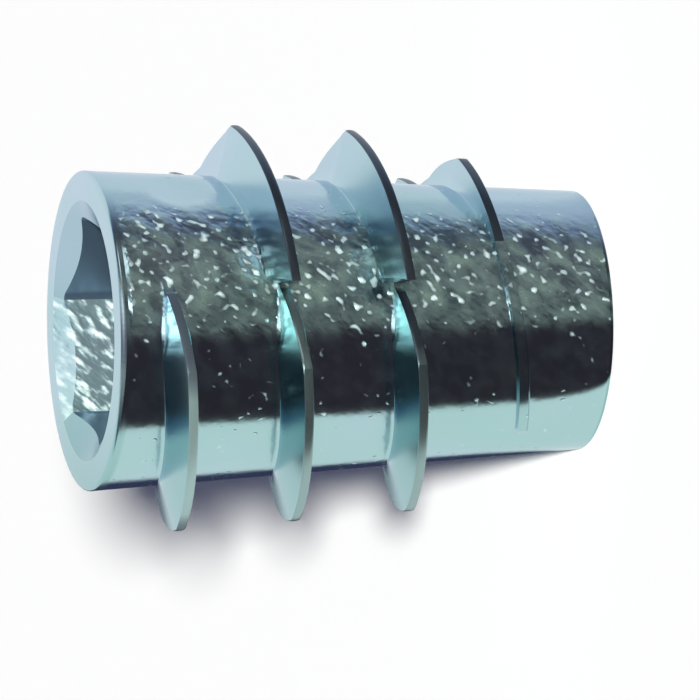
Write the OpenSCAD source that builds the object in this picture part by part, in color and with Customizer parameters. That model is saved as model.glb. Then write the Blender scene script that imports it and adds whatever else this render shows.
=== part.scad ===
// Hex-drive threaded insert for wood, one zinc die casting.
// It stands on its lead end: the axis is Z, the lead end is at Z = 0 and the
// drive end with the hex socket is on top.

/* [Body] */
// Length from the lead end to the drive end
length = 15; // [13:0.5:22]
// Diameter of the tapered body at the drive end
drive_d = 9.35; // [8.8:0.05:10.5]
// Diameter of the tapered body at the lead end
lead_d = 7.65; // [7.2:0.05:8.8]
// Rounding of the rim at the drive end
drive_edge_r = 0.1; // [0.05:0.05:0.35]
// Rounding of the rim at the lead end
lead_edge_r = 0.12; // [0.06:0.02:0.4]

/* [Wood thread] */
// Distance from one turn of the fin to the next
pitch = 3.47; // [3:0.01:3.8]
// Diameter over the full fin, carried on to the drive end
thread_d = 12.65; // [11.5:0.05:13]
// Width of the flat along the crest of the fin
crest_w = 0.28; // [0.15:0.01:0.4]
// Slope of each flank, from square to the axis
flank_angle = 12; // [8:1:20]
// Distance from the drive end to the crest where the fin starts
fin_drop = 1.44; // [1.2:0.02:2]
// Angle about the axis at which the fin starts at the drive end
fin_start_angle = 286; // [0:1:360]
// Turns of the fin, from its start to the end of its run-out
fin_turns = 3.2; // [2:0.1:3.3]
// Turns over which the fin rises out of the low ridge at the lead end
runout_turns = 0.24; // [0.2:0.02:0.8]
// Turns of low ridge before that rise
ridge_turns = 0.24; // [0.05:0.01:0.3]
// Height of the low ridge
ridge_h = 0.12; // [0.08:0.01:0.3]

/* [Breaks in the fin] */
// Angles at which the die slides met and the fin dips
break_angles = [285, 21, 134]; // [0:1:360]
// Share of the fin's height that is missing at the bottom of each break
break_depth = [1, 0.8, 1]; // [0.3:0.05:1]
// Angle over which the fin falls into each break, on its lead side
break_fall = [24, 25, 24]; // [5:1:40]
// Angle over which the fin rises out of each break, on its drive side
break_rise = [4, 12, 62]; // [4:1:64]
// Angle over which each break stays at its bottom
break_flat = [2, 14, 6]; // [2:1:16]
// Curve of the fall into each break: 1 is straight, and less drops faster at first
break_curve = [1, 0.7, 1]; // [0.5:0.1:1]
// Angle by which the crest leans out over each break, from its drive side
break_lean = [7.7, 0, 0]; // [0:0.1:9]

/* [Hex socket] */
// Width of the socket across its flats
hex_af = 6; // [5.6:0.1:6.2]
// Diameter to which the socket's corners are rounded off
hex_corner_d = 6.8; // [6.3:0.05:7]
// Depth of the socket's flats below the drive end
hex_depth = 5.5; // [3:0.1:7]
// Angle of one socket corner about the axis
hex_turn = 13; // [0:1:60]
// Diameter of the countersink at the mouth of the socket
mouth_d = 7.6; // [7:0.05:7.8]
// Depth of the countersink, down to where it meets the flats
mouth_depth = 0.45; // [0.2:0.05:0.8]

/* [Machine thread] */
// Bore at the minor diameter of the machine thread
bore_d = 5; // [4:0.05:5.4]
// Chamfer at the lead end of the bore
bore_chamfer = 0.45; // [0.2:0.05:0.6]

/* [Hidden] */
$fn = 96;
drive_r = drive_d / 2;
lead_r = lead_d / 2;
bore_r = bore_d / 2;
mouth_r = mouth_d / 2;
// Height of the full fin above the body
fin_h = (thread_d - drive_d) / 2;
hex_corner_r = hex_corner_d / 2;
// Corner radius of a hexagon of the socket's width, before rounding
hex_r = hex_af / 2 / cos(30);
// Straight steps along each rounded rim
edge_steps = 5;
// Sections of the fin in one turn
sections_per_turn = 90;
sections = round(fin_turns * sections_per_turn);
// Depth to which the fin is rooted in the body
fin_root = 0.35;
// Length by which cuts run past the faces that they open
cut = 1;
// Depth of the 45 degree cone between the socket and the bore
cone_depth = hex_corner_r - bore_r;
// Widening of the countersink for each millimetre of its depth
mouth_slope = (mouth_r - hex_af / 2) / mouth_depth;
// Angle over which a lean of the crest fades out
lean_fade = 24;

// Radius of the tapered body at height z
function body_r(z) = lead_r + (drive_r - lead_r) * z / length;

// Signed angle from b to a, from -180 to 180
function turn_from(b, a) = (a - b) - 360 * round((a - b) / 360);

// Share of the fin's height that break k leaves at angle a
function break_share(a, k) =
    let (
        off = turn_from(break_angles[k], a),
        ramp = off > 0 ? break_rise[k] : break_fall[k],
        out = (abs(off) - break_flat[k] / 2) / ramp
    )
    1 - break_depth[k] * pow(1 - min(1, max(0, out)), off > 0 ? 1 : break_curve[k]);

// Angle by which the crest leans out at angle a
function crest_lean(a) =
    max([for (k = [0 : len(break_angles) - 1])
        let (past = turn_from(break_angles[k], a) - break_flat[k] / 2 - break_rise[k])
        past < -1 ? 0 : break_lean[k] * max(0, 1 - past / lean_fade)]);

// Share of the fin's height that the lead end's run-out leaves, t turns from the start
function runout_share(t) = min(1, max(0, (fin_turns - ridge_turns - t) / runout_turns));

// Height of the fin at angle a, t turns from the start
function fin_height(a, t) =
    let (share = min([for (k = [0 : len(break_angles) - 1]) break_share(a, k)]))
    ridge_h + (fin_h - ridge_h) * share * runout_share(t);

// Section of the fin t turns from its start: lead root, lead crest, drive crest, drive root
function fin_section(t) =
    let (
        a = fin_start_angle - 360 * t,
        z = length - fin_drop - pitch * t,
        h = fin_height(a, t),
        root = body_r(z) - fin_root,
        crest = body_r(z) + h,
        half_crest = crest_w / 2,
        half_root = half_crest + (h + fin_root) * tan(flank_angle),
        b = a - crest_lean(a)
    )
    [for (p = [[root, a, -half_root], [crest, b, -half_crest], [crest, b, half_crest], [root, a, half_root]])
        [p[0] * cos(p[1]), p[0] * sin(p[1]), z + p[2]]];

// Tapered body with both rims rounded, before it is hollowed
module body() {
    drive_rim = [for (i = [0 : edge_steps])
        let (a = 90 * i / edge_steps)
        [drive_r - drive_edge_r * (1 - cos(a)), length - drive_edge_r * (1 - sin(a))]];
    lead_rim = [for (i = [0 : edge_steps])
        let (a = 90 * i / edge_steps)
        [lead_r - lead_edge_r * (1 - sin(a)), lead_edge_r * (1 - cos(a))]];
    rotate_extrude()
        polygon(concat([[0, 0]], lead_rim, drive_rim, [[0, length]]));
}

// Coarse knife thread: one fin swept down the body from the drive end
module fin() {
    corners = len(fin_section(0));
    points = [for (i = [0 : sections]) each fin_section(fin_turns * i / sections)];
    sides = [for (i = [0 : sections - 1], k = [0 : corners - 1])
        let (
            a = i * corners + k,
            b = i * corners + (k + 1) % corners
        )
        each [[a, b + corners, b], [a, a + corners, b + corners]]];
    first_cap = [[0, 1, 2], [0, 2, 3]];
    last = sections * corners;
    last_cap = [[last, last + 2, last + 1], [last, last + 3, last + 2]];
    polyhedron(points, concat(sides, first_cap, last_cap));
}

// Hex socket with rounded corners, its countersink and the cone at its bottom
module socket() {
    translate([0, 0, length - hex_depth])
        intersection() {
            rotate(hex_turn)
                cylinder(r = hex_r, h = hex_depth + cut, $fn = 6);
            cylinder(r = hex_corner_r, h = hex_depth + cut);
        }
    translate([0, 0, length - mouth_depth])
        cylinder(r1 = hex_af / 2, r2 = mouth_r + cut * mouth_slope, h = mouth_depth + cut);
    translate([0, 0, length - hex_depth - cone_depth])
        intersection() {
            cylinder(r1 = bore_r, r2 = hex_corner_r, h = cone_depth);
            rotate(hex_turn)
                cylinder(r = hex_r, h = cone_depth, $fn = 6);
        }
}

// Bore of the machine thread, with its chamfer at the lead end
module bore() {
    translate([0, 0, -cut])
        cylinder(r = bore_r, h = length + 2 * cut);
    translate([0, 0, -cut])
        cylinder(r1 = bore_r + bore_chamfer + cut, r2 = bore_r, h = bore_chamfer + cut);
}

// The whole casting
module threaded_insert() {
    color("lightsteelblue")
        difference() {
            union() {
                body();
                fin();
            }
            socket();
            bore();
        }
}

threaded_insert();
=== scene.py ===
import math
from collections import namedtuple

import bpy
from mathutils import Matrix, Vector


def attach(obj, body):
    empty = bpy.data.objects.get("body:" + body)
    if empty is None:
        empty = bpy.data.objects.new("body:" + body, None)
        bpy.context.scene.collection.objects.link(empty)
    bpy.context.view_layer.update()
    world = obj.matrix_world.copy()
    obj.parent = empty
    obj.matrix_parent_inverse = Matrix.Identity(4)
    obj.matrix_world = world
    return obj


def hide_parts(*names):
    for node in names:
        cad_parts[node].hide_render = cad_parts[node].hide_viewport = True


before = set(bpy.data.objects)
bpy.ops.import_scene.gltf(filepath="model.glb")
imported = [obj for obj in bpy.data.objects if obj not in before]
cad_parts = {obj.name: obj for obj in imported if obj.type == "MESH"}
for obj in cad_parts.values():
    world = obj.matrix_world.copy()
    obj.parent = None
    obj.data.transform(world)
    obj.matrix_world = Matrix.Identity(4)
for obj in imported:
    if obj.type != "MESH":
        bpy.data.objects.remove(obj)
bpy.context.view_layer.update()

# The ends of the casting: both flat end faces, their rounded rims, the hex socket with
# its countersink and cone, and the chamfer of the bore. The real one is die-cast in zinc
# alloy, and these are the faces that the die's end plate and core pin leave.
mm = 0.001
length = 15 * mm
drive_r = 4.675 * mm
lead_r = 3.825 * mm
drive_edge_r = 0.1 * mm
lead_edge_r = 0.12 * mm
# The drive end takes in a collar of the body's outside, down to where the skin of the threads begins
collar = 0.35 * mm
collar_r = lead_r + (drive_r - lead_r) * (1 - collar / length)
hex_half = 3 * mm
hex_corner_r = 3.4 * mm
hex_depth = 5.5 * mm
# Angle of one socket corner about the axis, in degrees
hex_turn = 13
mouth_r = 3.8 * mm
mouth_depth = 0.45 * mm
mouth_slope = (mouth_r - hex_half) / mouth_depth
bore_r = 2.5 * mm
bore_chamfer = 0.45 * mm
# A 45 degree cone joins the socket to the bore
cone_end = length - hex_depth - (hex_corner_r - bore_r)
# The rim at the drive end is knocked down along the front: its middle and spread in degrees, and its depth
knock_angle = 264
knock_spread = 20
knock_depth = 0.05 * mm
# The core pin dragged on the socket as it was drawn. It left the rear facet scored, between these
# angles. The other walls take these shares of the same mask, which paint a deep blue shade on them and haze
# them
scored_from = hex_turn + 60
scored_to = hex_turn + 120
drag_and_shade_shares = {"countersink": 0.12, "socket wall": 0.4}
# Faces round the axis, and faces along each stretch of the sections of the two ends
columns = 180
drive_rows = {"collar": 2, "drive rim": 6, "drive ring": 4, "countersink": 4, "socket wall": 16, "cone": 5}
lead_rows = {"chamfer": 3, "lead ring": 3, "lead rim": 6}


def hex_radius(angle):
    """Radius of the socket's wall at an angle in degrees, with its corners rounded off."""
    off = (angle - hex_turn) % 60 - 30
    return min(hex_half / math.cos(math.radians(off)), hex_corner_r)


def run(points, steps):
    """Points on straight lines through the given ones, with so many steps in each line."""
    made = [points[0]]
    for (r0, z0), (r1, z1), count in zip(points, points[1:], steps):
        made += [(r0 + (r1 - r0) * i / count, z0 + (z1 - z0) * i / count) for i in range(1, count + 1)]
    return made


def quarter_round(r, z, wide, tall, start, end, steps):
    """Points on a quarter of an ellipse about (r, z), from one angle to another in degrees."""
    turns = [math.radians(start + (end - start) * i / steps) for i in range(steps + 1)]
    return [(r + wide * math.cos(t), z + tall * math.sin(t)) for t in turns]


def knock(angle):
    """How far the drive end's rim is knocked down at an angle in degrees, from 0 to 1."""
    return math.exp(-(((angle - knock_angle) / knock_spread) ** 2))


def drive_end(angle):
    """Section of the drive end at an angle: up its collar, over the rim, inwards and down to the bore."""
    wide, tall = drive_edge_r, drive_edge_r + knock_depth * knock(angle)
    rim = quarter_round(drive_r - wide, length - tall, wide, tall, 0, 90, drive_rows["drive rim"])
    wall = hex_radius(angle)
    inwards = [
        rim[-1],
        (mouth_r, length),
        (wall, length - (mouth_r - wall) / mouth_slope),
        (wall, length - hex_depth - (hex_corner_r - wall)),
        (bore_r, cone_end),
    ]
    steps = [drive_rows[stretch] for stretch in ("drive ring", "countersink", "socket wall", "cone")]
    upwards = run([(collar_r, length - collar), rim[0]], [drive_rows["collar"]])
    return upwards + rim[1:-1] + run(inwards, steps)


def lead_end(angle):
    """Section of the lead end, from the bore outwards to its rim; it is the same at every angle."""
    edge = lead_edge_r
    rim = quarter_round(lead_r - edge, edge, edge, edge, -90, 0, lead_rows["lead rim"])
    outwards = [(bore_r, bore_chamfer), (bore_r + bore_chamfer, 0), rim[0]]
    return run(outwards, [lead_rows["chamfer"], lead_rows["lead ring"]]) + rim[1:]


points, faces, dragged_and_shaded, knocked = [], [], [], []
for section, rows in ((drive_end, drive_rows), (lead_end, lead_rows)):
    stretches = [stretch for stretch, count in rows.items() for _ in range(count)]
    first, points_each = len(points), len(stretches) + 1
    for column in range(columns):
        angle = 360 * column / columns
        turned = math.radians(angle)
        points += [(r * math.cos(turned), r * math.sin(turned), z) for r, z in section(angle)]
        a = first + column * points_each
        b = first + (column + 1) % columns * points_each
        on_scored_facet = scored_from <= angle < scored_to
        for i, stretch in enumerate(stretches):
            faces.append((a + i, b + i, b + i + 1, a + i + 1))
            drag_and_shade = drag_and_shade_shares.get(stretch, 0.0)
            dragged_and_shaded.append(1.0 if drag_and_shade and on_scored_facet else drag_and_shade)
            knocked.append(knock(angle) if stretch == "drive rim" else 0.0)
ends = bpy.data.meshes.new("ends")
ends.from_pydata(points, [], faces)
ends.attributes.new("drag_and_shade", "FLOAT", "FACE").data.foreach_set("value", dragged_and_shaded)
# The knocked rim takes the colour of the fin's crest: worn grey, with painted shade darker towards +X
ends.attributes.new("crest", "FLOAT", "FACE").data.foreach_set("value", knocked)
insert = bpy.data.objects.new("threaded_insert_casting", ends)
bpy.context.scene.collection.objects.link(insert)


# The two threads and the skin between their turns: the coarse fin that grips the wood, with
# its breaks where the die slides met, and the machine thread in the bore. Both are one
# strip, a pitch wide, that winds down the axis and closes on its own next turn.
def add(tree, kind, *inputs, by_name=None, **settings):
    """Adds a node, or a math node where kind is its operation, with its settings and its inputs, in order
    or by name. An input is a value, a socket, or a node whose first output is meant."""
    node = tree.nodes.new("ShaderNodeMath" if kind.isupper() else kind)
    if kind.isupper():
        node.operation = kind
    for name, value in settings.items():
        setattr(node, name, value)
    for place, value in [*enumerate(inputs), *(by_name or {}).items()]:
        if isinstance(value, bpy.types.Node):
            value = value.outputs[0]
        if isinstance(value, bpy.types.NodeSocket):
            tree.links.new(value, node.inputs[place])
        elif value is not None:
            node.inputs[place].default_value = value
    return node


def new_tree(name, floats, ints=()):
    """A geometry node tree with these named inputs: the tree, its given inputs and its result."""
    tree = bpy.data.node_groups.new(name, "GeometryNodeTree")
    tree.interface.new_socket("Geometry", in_out="OUTPUT", socket_type="NodeSocketGeometry")
    tree.interface.new_socket("Geometry", in_out="INPUT", socket_type="NodeSocketGeometry")
    for socket in floats:
        tree.interface.new_socket(socket, in_out="INPUT", socket_type="NodeSocketFloat")
    for socket in ints:
        tree.interface.new_socket(socket, in_out="INPUT", socket_type="NodeSocketInt")
    given = tree.nodes.new("NodeGroupInput").outputs
    result = tree.nodes.new("NodeGroupOutput").inputs[0]
    return tree, given, result


skin, given, result = new_tree(
    "helical_skin",
    [
        "First Turn", "Last Turn", "Pitch", "Top", "Start Angle",
        "Low", "High", "Low Radius", "High Radius",
        "Crest Width", "Flank Slope", "Fillet", "Height", "Lean",
        "Flat Depth", "Flat Angle", "Flat Middle", "Flat Reach",
    ],
    ["Columns", "Crest Rows", "Flank Rows", "Fillet Rows", "Land Rows"],
)
# The strip has columns along its turns, and rows on both sides of the crest's middle
crest_end = given["Crest Rows"]
flank_end = add(skin, "ADD", crest_end, given["Flank Rows"])
fillet_end = add(skin, "ADD", flank_end, given["Fillet Rows"])
side_rows = add(skin, "ADD", fillet_end, given["Land Rows"])
turns = add(skin, "SUBTRACT", given["Last Turn"], given["First Turn"])
strip = add(
    skin, "GeometryNodeMeshGrid", 1.0, 1.0,
    add(skin, "ADD", add(skin, "MULTIPLY", turns, given["Columns"]), 1.0),
    add(skin, "MULTIPLY_ADD", side_rows, 2.0, 1.0),
)
strip_x, strip_y, _ = add(skin, "ShaderNodeSeparateXYZ", add(skin, "GeometryNodeInputPosition")).outputs
turn = add(
    skin, "ShaderNodeMapRange", strip_x, -0.5, 0.5, given["First Turn"], given["Last Turn"], clamp=False
)
marked = add(skin, "GeometryNodeStoreNamedAttribute", strip, None, "turn", turn)
turn = add(skin, "GeometryNodeInputNamedAttribute", "turn")
row = add(skin, "MULTIPLY", add(skin, "ABSOLUTE", strip_y), add(skin, "MULTIPLY", side_rows, 2.0))
quarter = math.pi / 2
over_crest = add(skin, "ShaderNodeMapRange", row, 0.0, crest_end, 0.0, quarter)
down_flank = add(skin, "ShaderNodeMapRange", row, crest_end, flank_end, 0.0, 1.0)
round_fillet = add(skin, "ShaderNodeMapRange", row, flank_end, fillet_end, 0.0, quarter)
along_land = add(skin, "ShaderNodeMapRange", row, fillet_end, side_rows, 0.0, 1.0)
# Share of the height: a slightly crowned crest, the straight flank and the fillet at its root
crown = 0.02
share = add(skin, "MULTIPLY_ADD", add(skin, "COSINE", over_crest), crown, 1.0 - crown)
flank_share = add(skin, "SUBTRACT", 1.0 - crown, given["Fillet"])
share = add(skin, "SUBTRACT", share, add(skin, "MULTIPLY", flank_share, down_flank))
fillet_share = add(skin, "MULTIPLY", given["Fillet"], add(skin, "SINE", round_fillet))
share = add(skin, "SUBTRACT", share, fillet_share)
# Half width of the section at each row, from the crest's middle out to half a pitch. Where the fin is
# low, its rows keep the spread of a fin of this height
least_height = 0.3 * mm
flank_out = add(skin, "MULTIPLY", add(skin, "MULTIPLY", flank_share, given["Flank Slope"]), down_flank)
round_out = add(skin, "SUBTRACT", 1.0, add(skin, "COSINE", round_fillet))
fillet_out = add(skin, "MULTIPLY", given["Fillet"], round_out)
spread = add(skin, "MAXIMUM", given["Height"], least_height)
out = add(skin, "MULTIPLY", spread, add(skin, "ADD", flank_out, fillet_out))
half_crest = add(skin, "MULTIPLY", given["Crest Width"], 0.5)
out = add(skin, "MULTIPLY_ADD", add(skin, "SINE", over_crest), half_crest, out)
half_pitch = add(skin, "MULTIPLY", given["Pitch"], 0.5)
out = add(skin, "ShaderNodeMapRange", along_land, 0.0, 1.0, out, half_pitch)
out = add(skin, "MULTIPLY", out, add(skin, "SIGN", strip_y))
# Place of each point: round the axis with the turns, where the crest may lean out over a break
angle = add(skin, "SUBTRACT", given["Start Angle"], add(skin, "MULTIPLY", turn, 2 * math.pi))
angle = add(skin, "SUBTRACT", angle, add(skin, "MULTIPLY", given["Lean"], share))
# and down the axis, held between the two end pieces, on a tapered wall
wound_down = add(skin, "SUBTRACT", given["Top"], add(skin, "MULTIPLY", given["Pitch"], turn))
held = add(skin, "ShaderNodeClamp", add(skin, "ADD", wound_down, out), given["Low"], given["High"])
wall = add(
    skin, "ShaderNodeMapRange", held, given["Low"], given["High"], given["Low Radius"], given["High Radius"]
)
# One shallow flat is cut across that wall, deepest at its middle height. It is a plane about its angle,
# and the least cosine keeps it off the far side
least_cosine = 0.3
off_middle = add(skin, "DIVIDE", add(skin, "SUBTRACT", held, given["Flat Middle"]), given["Flat Reach"])
fall_off = add(skin, "SUBTRACT", 1.0, add(skin, "MULTIPLY", off_middle, off_middle))
dip = add(skin, "MULTIPLY", given["Flat Depth"], fall_off)
from_flat = add(skin, "COSINE", add(skin, "SUBTRACT", angle, given["Flat Angle"]))
across = add(skin, "MAXIMUM", from_flat, least_cosine)
wall = add(skin, "MINIMUM", wall, add(skin, "DIVIDE", add(skin, "SUBTRACT", wall, dip), across))
rise = add(skin, "MULTIPLY", given["Height"], share)
radius = add(skin, "ADD", rise, wall)
position = add(
    skin, "ShaderNodeCombineXYZ",
    add(skin, "MULTIPLY", radius, add(skin, "COSINE", angle)),
    add(skin, "MULTIPLY", radius, add(skin, "SINE", angle)),
    held,
)
# Where the casting's own grain shows, which fades out up the root of the fin, and where the dull crest
# is, on a fin that stands this high
grain_from, grain_to = 0.03 * mm, 0.3 * mm
worn_height = 0.2 * mm
grain = add(skin, "ShaderNodeMapRange", rise, grain_from, grain_to, 1.0, 0.0)
grained = add(skin, "GeometryNodeStoreNamedAttribute", marked, None, "grain", grain)
high_enough = add(skin, "GREATER_THAN", given["Height"], worn_height)
crest = add(skin, "MULTIPLY", add(skin, "LESS_THAN", row, crest_end), high_enough)
crested = add(skin, "GeometryNodeStoreNamedAttribute", grained, None, "crest", crest, domain="FACE")
wound = add(skin, "GeometryNodeSetPosition", crested, None, position)
skin.links.new(wound.outputs[0], result)

# Breaks in the fin, with angles in degrees: where each is, the share of the height that is missing at its
# bottom, the angles over which the fin falls into it on its lead side, stays down, and rises on its drive
# side, the curve of its fall, and the angle by which the crest leans out over it
Break = namedtuple("Break", "at depth fall flat rise curve lean")
breaks = [
    Break(at=285, depth=1, fall=26, flat=2, rise=2, curve=1, lean=5.7),
    Break(at=21, depth=0.8, fall=27, flat=14, rise=12, curve=0.7, lean=0),
    Break(at=134, depth=1, fall=24, flat=6, rise=62, curve=1, lean=0),
]
# Angle over which the lean fades out, and how far before the top of the rise it begins
lean_fade = 24
lean_ahead = 0.5
# The fillet swells this far ahead of the break that leans, and over this angle to both sides
swell_ahead = 14
swell_reach = 12
machine_pitch = 1 * mm
# The fillet and its swelling are shares of the fin's height
fin_sizes = {
    "Pitch": 3.47 * mm, "Fin Height": 1.635 * mm, "Crest Width": 0.28 * mm,
    "Flank Slope": math.tan(math.radians(12)), "Fillet": 0.012, "Swelling": 0.25,
    "Fin Top": length - 1.44 * mm, "Fin Start": math.radians(286), "Fin Turns": 3.2,
    "Runout Turns": 0.24, "Ridge Turns": 0.24, "Ridge Height": 0.12 * mm, "Ridge Fade": 0.012,
    "Low": lead_edge_r, "High": length - collar, "Low Radius": lead_r, "High Radius": collar_r,
    "Flat Depth": 0.11 * mm, "Flat Angle": math.radians(333),
    "Flat Middle": 12.55 * mm, "Flat Reach": 1 * mm,
    "Bore Low": bore_chamfer, "Bore High": cone_end, "Bore Radius": bore_r,
    "Machine Pitch": machine_pitch, "Machine Depth": 0.54 * machine_pitch,
}
casting, given, result = new_tree("casting", fin_sizes)
turn = add(casting, "GeometryNodeInputNamedAttribute", "turn")
start_degrees = add(casting, "MULTIPLY", given["Fin Start"], 180 / math.pi)
degrees = add(casting, "MULTIPLY_ADD", turn, -360.0, start_degrees)
# Share of the fin's height that the breaks leave, the lean of its crest and the share of its fillet
left, lean, fillet = None, 0.0, given["Fillet"]
for gap in breaks:
    off = add(casting, "WRAP", add(casting, "SUBTRACT", degrees, gap.at), 180.0, -180.0)
    foot = gap.flat / 2
    top = foot + gap.rise
    up = add(casting, "ShaderNodeMapRange", off, foot, top, 1.0 - gap.depth, 1.0)
    fallen = add(casting, "ShaderNodeMapRange", off, -foot, -foot - gap.fall, 1.0, 0.0)
    gone = add(casting, "MULTIPLY", add(casting, "POWER", fallen, gap.curve), gap.depth)
    here = add(casting, "MAXIMUM", up, add(casting, "SUBTRACT", 1.0, gone))
    left = add(casting, "MINIMUM", left, here) if left else here
    if gap.lean:
        fading = add(casting, "ShaderNodeMapRange", off, top, top + lean_fade, math.radians(gap.lean), 0.0)
        lean = add(casting, "MULTIPLY", fading, add(casting, "GREATER_THAN", off, top - lean_ahead))
        from_swelling = add(casting, "ABSOLUTE", add(casting, "ADD", off, swell_ahead))
        swell = add(
            casting, "ShaderNodeMapRange", from_swelling, 0.0, swell_reach, given["Swelling"], 0.0,
            interpolation_type="SMOOTHSTEP",
        )
        fillet = add(casting, "ADD", given["Fillet"], swell)
# The fin runs out into a low ridge at the lead end, and fades into the wall at both ends
ridge_start = add(casting, "SUBTRACT", given["Fin Turns"], given["Ridge Turns"])
runout_start = add(casting, "SUBTRACT", ridge_start, given["Runout Turns"])
runout = add(casting, "ShaderNodeMapRange", turn, runout_start, ridge_start, 1.0, 0.0)
left = add(casting, "MULTIPLY", left, runout)
fin = add(casting, "SUBTRACT", given["Fin Height"], given["Ridge Height"])
fin = add(casting, "MULTIPLY_ADD", fin, left, given["Ridge Height"])
fade_in = add(casting, "ShaderNodeMapRange", turn, 0.0, given["Ridge Fade"], 0.0, 1.0)
fin = add(casting, "MULTIPLY", fin, fade_in)
fade_start = add(casting, "SUBTRACT", given["Fin Turns"], given["Ridge Fade"])
fade_out = add(casting, "ShaderNodeMapRange", turn, fade_start, given["Fin Turns"], 1.0, 0.0)
fin = add(casting, "MULTIPLY", fin, fade_out)
lean = add(casting, "MULTIPLY", lean, add(casting, "DIVIDE", fin, given["Fin Height"]))
# Both strips run on past the ends of the wall, where they are held to the rings of the end pieces
wood_sizes = (
    "Pitch", "Low", "High", "Low Radius", "High Radius", "Crest Width", "Flank Slope",
    "Flat Depth", "Flat Angle", "Flat Middle", "Flat Reach",
)
wood = add(casting, "GeometryNodeGroup", node_tree=skin, by_name={
    **{name: given[name] for name in wood_sizes},
    "First Turn": -1.0, "Last Turn": 4.6, "Top": given["Fin Top"], "Start Angle": given["Fin Start"],
    "Fillet": fillet, "Height": fin, "Lean": lean,
    "Columns": columns, "Crest Rows": 3, "Flank Rows": 7, "Fillet Rows": 3, "Land Rows": 10,
})
# The machine thread fades in and out between these turns, so that it meets plain rings at its ends. The
# bore has no flat, and the reach of one is given only because it divides
bore_turns = (cone_end - bore_chamfer) / machine_pitch
enter_turns = (0.6, 1.4)
leave_turns = (bore_turns - 1.1, bore_turns - 0.6)
enters = add(casting, "ShaderNodeMapRange", turn, *enter_turns, 0.0, 1.0)
leaves = add(casting, "ShaderNodeMapRange", turn, *leave_turns, 1.0, 0.0)
groove = add(casting, "MULTIPLY", given["Machine Depth"], add(casting, "MULTIPLY", enters, leaves))
bore = add(casting, "GeometryNodeGroup", node_tree=skin, by_name={
    "First Turn": -1.0, "Last Turn": 10.0, "Pitch": given["Machine Pitch"], "Top": given["Bore High"],
    "Start Angle": given["Fin Start"], "Low": given["Bore Low"], "High": given["Bore High"],
    "Low Radius": given["Bore Radius"], "High Radius": given["Bore Radius"],
    "Crest Width": machine_pitch / 8, "Flank Slope": math.tan(math.radians(30)), "Fillet": 0.06,
    "Height": groove, "Flat Reach": 1 * mm,
    "Columns": columns, "Crest Rows": 1, "Flank Rows": 2, "Fillet Rows": 1, "Land Rows": 1,
})
joined = add(casting, "GeometryNodeJoinGeometry")
for piece in (given["Geometry"], add(casting, "GeometryNodeFlipFaces", wood).outputs[0], bore.outputs[0]):
    casting.links.new(piece, joined.inputs[0])
seam = 0.001 * mm
merged = add(casting, "GeometryNodeMergeByDistance", joined, None, seam)
finished = add(casting, "GeometryNodeSetMaterial", add(casting, "GeometryNodeRealizeInstances", merged))
casting.links.new(finished.outputs[0], result)


# Bright zinc plate, blue passivated, over a die-cast skin: a mirror-like pale aqua metal. The die slide
# of the front, towards +X, has left an orange-peel skin with pimples there, the others a smooth one.
def colour(hexes):
    """Linear colour of an sRGB hex value."""
    parts = [int(hexes[i:i + 2], 16) / 255 for i in (1, 3, 5)]
    return [c / 12.92 if c <= 0.04045 else ((c + 0.055) / 1.055) ** 2.4 for c in parts] + [1.0]


def set_stops(ramp, stops, mode="LINEAR"):
    """Gives a colour ramp its stops, each a place and an sRGB hex value or a grey level."""
    ramp.interpolation = mode
    while len(ramp.elements) > 1:
        ramp.elements.remove(ramp.elements[-1])
    for i, (place, value) in enumerate(stops):
        stop = ramp.elements[0] if i == 0 else ramp.elements.new(place)
        stop.position = place
        stop.color = colour(value) if isinstance(value, str) else (value, value, value, 1.0)


def turn_place(degrees):
    """Place on a round gradient of an angle about the axis in degrees, counted from +X towards +Y."""
    return (degrees / 360 + 0.5) % 1


def bare_nodes(owner):
    """Empty node tree of a new material or world."""
    owner.use_nodes = True
    owner.node_tree.nodes.clear()
    return owner.node_tree


plate = bpy.data.materials.new("blue_passivated_zinc_plate")
tree = bare_nodes(plate)
where = add(tree, "ShaderNodeTexCoord").outputs["Object"]
x, _, z = add(tree, "ShaderNodeSeparateXYZ", where).outputs
crest, drag_and_shade, grain = [
    add(tree, "ShaderNodeAttribute", attribute_name=name).outputs["Fac"]
    for name in ("crest", "drag_and_shade", "grain")
]
# How rough each die slide's skin is, from 0 to 1, at angles about the axis in degrees
slide_skins = [
    (-180, 0.08), (-97, 0.08), (-82, 1.0), (-60, 1.0), (-46, 0.7), (-34, 0.12), (130, 0.12), (138, 0.08),
]
slides = add(tree, "ShaderNodeValToRGB", add(tree, "ShaderNodeTexGradient", where, gradient_type="RADIAL"))
set_stops(slides.color_ramp, [(turn_place(angle), rough) for angle, rough in slide_skins])
level = add(tree, "MULTIPLY", slides, grain)
# Three patterns lie along the slant in which the metal flowed: the lumps of the cast skin, about 0.5 mm
# wide, its specks of 0.1 to 0.2 mm, and the core pin's scores, about 0.5 mm long and 0.2 mm wide
slant = (0, math.radians(-45), 0)
lump_size = (0.7 * mm, 0.5 * mm, 0.45 * mm)
speck_size = (0.24 * mm, 0.18 * mm, 0.18 * mm)
score_size = (0.5 * mm, 1 * mm, 0.22 * mm)
patterns = []
for size, detail in ((lump_size, 2.0), (speck_size, 0.0), (score_size, 2.0)):
    laid = {"Rotation": slant, "Scale": size}
    slanted = add(tree, "ShaderNodeMapping", where, vector_type="TEXTURE", by_name=laid)
    patterns.append(add(tree, "ShaderNodeTexNoise", slanted, by_name={"Scale": 1.0, "Detail": detail}))
lumps, grit, scores = patterns
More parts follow.
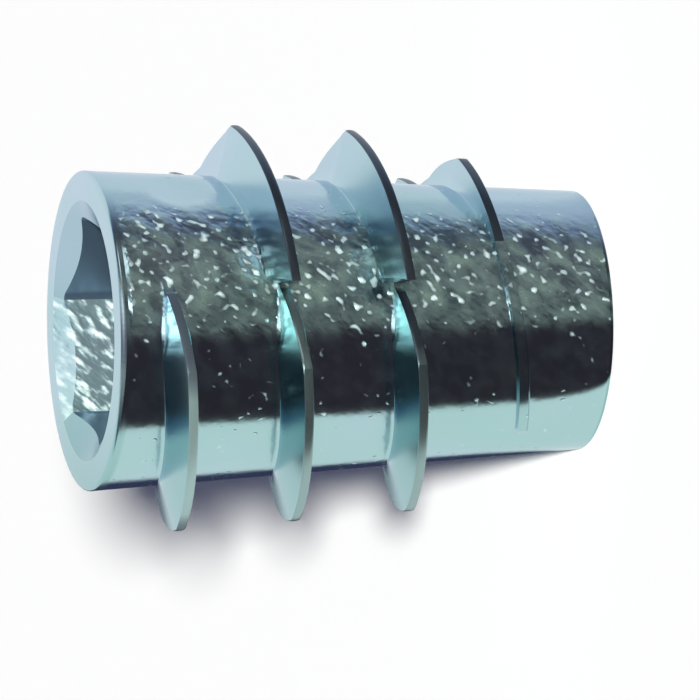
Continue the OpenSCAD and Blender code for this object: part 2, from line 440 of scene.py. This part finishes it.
# Frosted patches lie on the lumps, and the specks are rarer on the smoother slides. Each begins at one
# level of its pattern and is full at another
frost_levels, speck_levels, streak_levels = (0.42, 0.74), (0.75, 1.02), (0.46, 0.72)
more_specks = 0.17
frost = add(tree, "MULTIPLY", add(tree, "ShaderNodeMapRange", lumps, *frost_levels, 0.0, 1.0), level)
grit = add(tree, "MULTIPLY_ADD", level, more_specks, grit)
# Each speck is a pimple in the bump, and its pale colour and haze paint a glint on it
speck_and_glint = add(tree, "ShaderNodeMapRange", grit, *speck_levels, 0.0, 1.0, interpolation_type="SMOOTHSTEP")
speck_and_glint = add(tree, "MULTIPLY", speck_and_glint, grain)
# The scores are on the socket's rear facet alone, which its full drag marks
scored = add(tree, "GREATER_THAN", drag_and_shade, 0.5)
streak = add(tree, "MULTIPLY", add(tree, "ShaderNodeMapRange", scores, *streak_levels, 0.0, 1.0), scored)
# Heights of the three, in millimetres, which are the unit of the bump
lump_height, speck_height, score_height = 0.09, 0.02, 0.06
peel = add(tree, "MULTIPLY", add(tree, "MULTIPLY", lumps, level), lump_height)
scores = add(tree, "MULTIPLY", add(tree, "MULTIPLY", scores, scored), score_height)
height = add(tree, "ADD", add(tree, "MULTIPLY_ADD", speck_and_glint, speck_height, peel), scores)
bump = add(tree, "ShaderNodeBump", by_name={"Strength": 1.0, "Distance": mm, "Height": height})
# Passivation film: aqua towards -X, drifting to lavender towards +X, in clouds of about 4 mm
cloud_size = 4 * mm
film_reach = 6 * mm
drift = add(tree, "ShaderNodeTexNoise", where, by_name={"Scale": 1 / cloud_size, "Detail": 1.0})
side = add(tree, "ADD", add(tree, "ShaderNodeMapRange", x, -film_reach, film_reach, -0.3, 0.3), drift)
base_colour = add(tree, "ShaderNodeValToRGB", side)
set_stops(base_colour.color_ramp, [(0.2, "#A9CFCE"), (0.5, "#AFD0D5"), (0.8, "#B9D1DE")])
# On the fin the colour turns to teal towards -X, over this width. That starts further to +X on the turns
# nearer to the lead end, below the first of these heights, than near the drive end, above the second
teal_width = 2.5 * mm
teal_heights = (11.5 * mm, 12.8 * mm)
teal_starts = (2.5 * mm, -2 * mm)
teal_from = add(tree, "ShaderNodeMapRange", z, *teal_heights, *teal_starts)
teal_to = add(tree, "SUBTRACT", teal_from, teal_width)
tealed = add(tree, "ShaderNodeMapRange", x, teal_from, teal_to, 0.0, 1.0)
tealed = add(tree, "MULTIPLY", tealed, add(tree, "SUBTRACT", 1.0, grain))
# It is greener on the frost and pale on the scores. The pale on the specks is a painted glint, the deep
# blue on the socket's plain walls is painted shade, and the worn crest is grey, with painted shade that
# makes it darker towards +X
plain_wall_shade = add(tree, "MULTIPLY", drag_and_shade, add(tree, "SUBTRACT", 2.0, add(tree, "MULTIPLY", scored, 2.0)))
worn_grey_and_shade = add(tree, "ShaderNodeValToRGB", side)
set_stops(worn_grey_and_shade.color_ramp, [(0.36, "#93ADAC"), (0.52, "#525D68")])
teal, green, pale_glint_and_score, deep_shade_blue = colour("#94C0BE"), colour("#A8C8BE"), colour("#D6EAEA"), colour("#657F9E")
# The two colours of a mix node, among its inputs, and the mixed one, among its outputs
first_colour, second_colour, mixed_colour = 6, 7, 2
for share, tint in (
    (tealed, teal), (frost, green), (speck_and_glint, pale_glint_and_score), (plain_wall_shade, deep_shade_blue), (streak, pale_glint_and_score), (crest, worn_grey_and_shade),
):
    colours = {first_colour: base_colour, second_colour: tint}
    base_colour = add(tree, "ShaderNodeMix", share, data_type="RGBA", by_name=colours).outputs[mixed_colour]
# Bare metal mirrors; the frost, the specks, the socket's walls and the worn crest, most at the drive
# end, are hazed over by the film, each up to its own share. On the specks the haze is part of a painted
# glint
crest_heights, crest_hazes = (10.5 * mm, 12.5 * mm), (0.04, 0.2)
crest_haze = add(tree, "ShaderNodeMapRange", z, *crest_heights, *crest_hazes)
frost_haze = 0.07
haze_and_glint = add(tree, "MULTIPLY", frost, frost_haze)
for share, most in ((speck_and_glint, 0.27), (plain_wall_shade, 0.12), (scored, 0.1), (streak, 0.5), (crest, crest_haze)):
    haze_and_glint = add(tree, "MAXIMUM", haze_and_glint, add(tree, "MULTIPLY", share, most))
# Gloss: a mirror on the smooth slides, softer on the rough skin and on the fin, which has rubbed duller
# towards the lead end, and dullest on the haze
mirror_roughness, skin_roughness, haze_roughness = 0.12, 0.1, 0.9
fin_heights, fin_roughnesses = (13 * mm, 7 * mm), (0.2, 0.26)
rubbed = add(tree, "ShaderNodeMapRange", z, *fin_heights, *fin_roughnesses)
gloss = add(tree, "ShaderNodeMapRange", grain, 0.0, 1.0, rubbed, mirror_roughness)
gloss = add(tree, "MULTIPLY_ADD", level, skin_roughness, gloss)
gloss = add(tree, "MULTIPLY_ADD", haze_and_glint, haze_roughness, gloss)
shade = add(tree, "ShaderNodeBsdfPrincipled", by_name={
    "Base Color": base_colour, "Metallic": add(tree, "SUBTRACT", 1.0, haze_and_glint), "Roughness": gloss,
    "Normal": bump, "Specular Tint": colour("#EEF1F8"),
})
add(tree, "ShaderNodeOutputMaterial", shade)
finished.inputs["Material"].default_value = plate

# The tree makes the whole casting from the ends, and it then becomes a plain mesh
maker = insert.modifiers.new("casting", "NODES")
maker.node_group = casting
for socket in casting.interface.items_tree:
    if socket.in_out == "INPUT" and socket.name in fin_sizes:
        maker[socket.identifier] = fin_sizes[socket.name]
made = bpy.data.meshes.new_from_object(insert.evaluated_get(bpy.context.evaluated_depsgraph_get()))
insert.modifiers.clear()
insert.data = made
bpy.data.meshes.remove(ends)
made.name = "threaded_insert_casting"
made.shade_smooth()
sharp_angle = math.radians(28)
made.set_sharp_from_angle(angle=sharp_angle)
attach(insert, "root")
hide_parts("threaded_insert")

# The stage: a plain pale floor of white paper under the standing insert, soft light and the
# photograph's camera. None of it is part of the insert.
scene = bpy.context.scene
scene.view_settings.view_transform = "Standard"
floor_reach = 2.0
corners = [(-1, -1), (1, -1), (1, 1), (-1, 1)]
floor_mesh = bpy.data.meshes.new("floor")
floor_mesh.from_pydata([(floor_reach * i, floor_reach * j, 0) for i, j in corners], [], [(0, 1, 2, 3)])
floor = bpy.data.objects.new("floor", floor_mesh)
scene.collection.objects.link(floor)
# What the metal mirrors: white paper behind and at the sides, and a dark cloth in front that only the
# metal sees, near black towards -X and in grey folds towards +X. Behind, towards -X, the paper is in
# shadow. Each tone is at an azimuth in degrees, counted from straight in front towards +X
tones = [
    (-179, "#3C3E5A"), (-146, "#3C3E5A"), (-137, "#FAFCFA"), (-79, "#FAFCFA"), (-75, "#3A3038"),
    (-14, "#3A3038"), (8, "#7C7C78"), (20, "#504F50"), (32, "#878681"), (45, "#555455"), (58, "#82817E"),
    (71, "#504F54"), (84, "#5E5F6C"), (95, "#98A1B8"), (108, "#CBD3E0"), (128, "#F0F4F6"), (179, "#F0F4F6"),
]
tones_middle = (0, 3 * mm, 0)
paper = bpy.data.materials.new("white_paper")
tree = bare_nodes(paper)
white = add(
    tree, "ShaderNodeBsdfPrincipled", by_name={"Base Color": colour("#FFFFFF"), "Roughness": 0.9}
)
centred = add(tree, "ShaderNodeMapping", add(tree, "ShaderNodeTexCoord").outputs["Object"], tones_middle)
cloth = add(tree, "ShaderNodeValToRGB", add(tree, "ShaderNodeTexGradient", centred, gradient_type="RADIAL"))
set_stops(cloth.color_ramp, [(turn_place(azimuth - 90), tone) for azimuth, tone in tones], "EASE")
seen = add(tree, "ShaderNodeEmission", cloth, 1.0)
to_metal = add(tree, "ShaderNodeLightPath").outputs["Is Glossy Ray"]
add(tree, "ShaderNodeOutputMaterial", add(tree, "ShaderNodeMixShader", to_metal, white, seen))
floor_mesh.materials.append(paper)


def look(azimuth, elevation):
    """Unit vector at an azimuth from straight in front towards +X and an elevation, in degrees."""
    a, e = math.radians(azimuth), math.radians(elevation)
    return (math.sin(a) * math.cos(e), -math.cos(a) * math.cos(e), math.sin(e))


world = bpy.data.worlds.new("studio")
scene.world = world
tree = bare_nodes(world)
towards = add(tree, "ShaderNodeTexCoord").outputs["Generated"]
_, rearwards, upwards = add(tree, "ShaderNodeSeparateXYZ", towards).outputs
# The room that the metal sees is white behind, and falls off through blue to dark in front and overhead
room_tilt, room_front, room_rear = -0.15, -0.3, 0.22
tilted = add(tree, "MULTIPLY_ADD", upwards, room_tilt, rearwards)
depth = add(tree, "ShaderNodeMapRange", tilted, room_front, room_rear, 0.0, 1.0)
room = add(tree, "ShaderNodeValToRGB", depth)
set_stops(room.color_ramp, [(0.0, "#3A3844"), (0.45, "#7489AA"), (0.85, "#FFFFFF")])
# Soft lamps that the metal sees: their azimuth, elevation, full and outer radius in degrees, and strength
soft_lamps = [(6, 32, 4, 19, 5.5), (8, 66, 8, 20, 2.0), (48, 8, 6, 14, 1.6)]
lamps = None
for azimuth, elevation, inner, outer, strength in soft_lamps:
    near = add(tree, "ShaderNodeVectorMath", towards, look(azimuth, elevation), operation="DOT_PRODUCT")
    edge, full = math.cos(math.radians(outer)), math.cos(math.radians(inner))
    lamp = add(tree, "ShaderNodeMapRange", near.outputs["Value"], edge, full, 0.0, strength)
    lamps = add(tree, "MAXIMUM", lamps, lamp) if lamps else lamp
# The rest of the light is shared between the room, tinted, and a sun that gives the floor its shadow
path = add(tree, "ShaderNodeLightPath").outputs
shadow = colour("#42475E")
ambient = add(tree, "ShaderNodeBackground", shadow, 1.0)
mirror = add(
    tree, "ShaderNodeAddShader",
    add(tree, "ShaderNodeBackground", room, 1.0), add(tree, "ShaderNodeBackground", (1, 1, 1, 1), lamps),
)
plain = add(tree, "ShaderNodeBackground", (1, 1, 1, 1), 1.0)
sky = add(tree, "ShaderNodeMixShader", path["Is Glossy Ray"], ambient, mirror)
sky = add(tree, "ShaderNodeMixShader", path["Is Camera Ray"], sky, plain)
add(tree, "ShaderNodeOutputWorld", sky)
sun_azimuth, sun_elevation, sun_width = 2.8, 15.0, 3.5
sun_data = bpy.data.lights.new("sun", "SUN")
sun_data.angle = math.radians(sun_width)
# At this strength the floor is white where the sun and the room both reach it
sun_data.energy = math.pi / math.sin(math.radians(sun_elevation))
sun_data.color = [1 - c for c in shadow[:3]]
sun = bpy.data.objects.new("sun", sun_data)
sun.matrix_world = Vector(look(sun_azimuth, sun_elevation)).to_track_quat("Z", "Y").to_matrix().to_4x4()
sun.visible_glossy = False
scene.collection.objects.link(sun)

# The camera looks along +Y, a little down, and is turned on its side, because the insert lies on its
# side in the photograph. Its focal length is in pixels of the square image
elevation = math.radians(15.31)
turned_by = math.radians(90) + math.radians(1.335)
distance = 250 * mm
target = Vector((-0.7346, 0, 6.9636)) * mm
image_width, focal_length = 700, 8512
sensor_width = 36
back = Vector((0, -math.cos(elevation), math.sin(elevation)))
right = Vector((1, 0, 0))
up = back.cross(right)
c, s = math.cos(turned_by), math.sin(turned_by)
camera_data = bpy.data.cameras.new("camera")
camera_data.sensor_width = sensor_width
camera_data.lens = sensor_width * focal_length / image_width
camera_data.clip_start, camera_data.clip_end = 0.01, 10
camera = bpy.data.objects.new("camera", camera_data)
scene.collection.objects.link(camera)
axes = Matrix((c * right - s * up, s * right + c * up, back)).transposed()
camera.matrix_world = Matrix.Translation(target + distance * back) @ axes.to_4x4()
scene.camera = camera
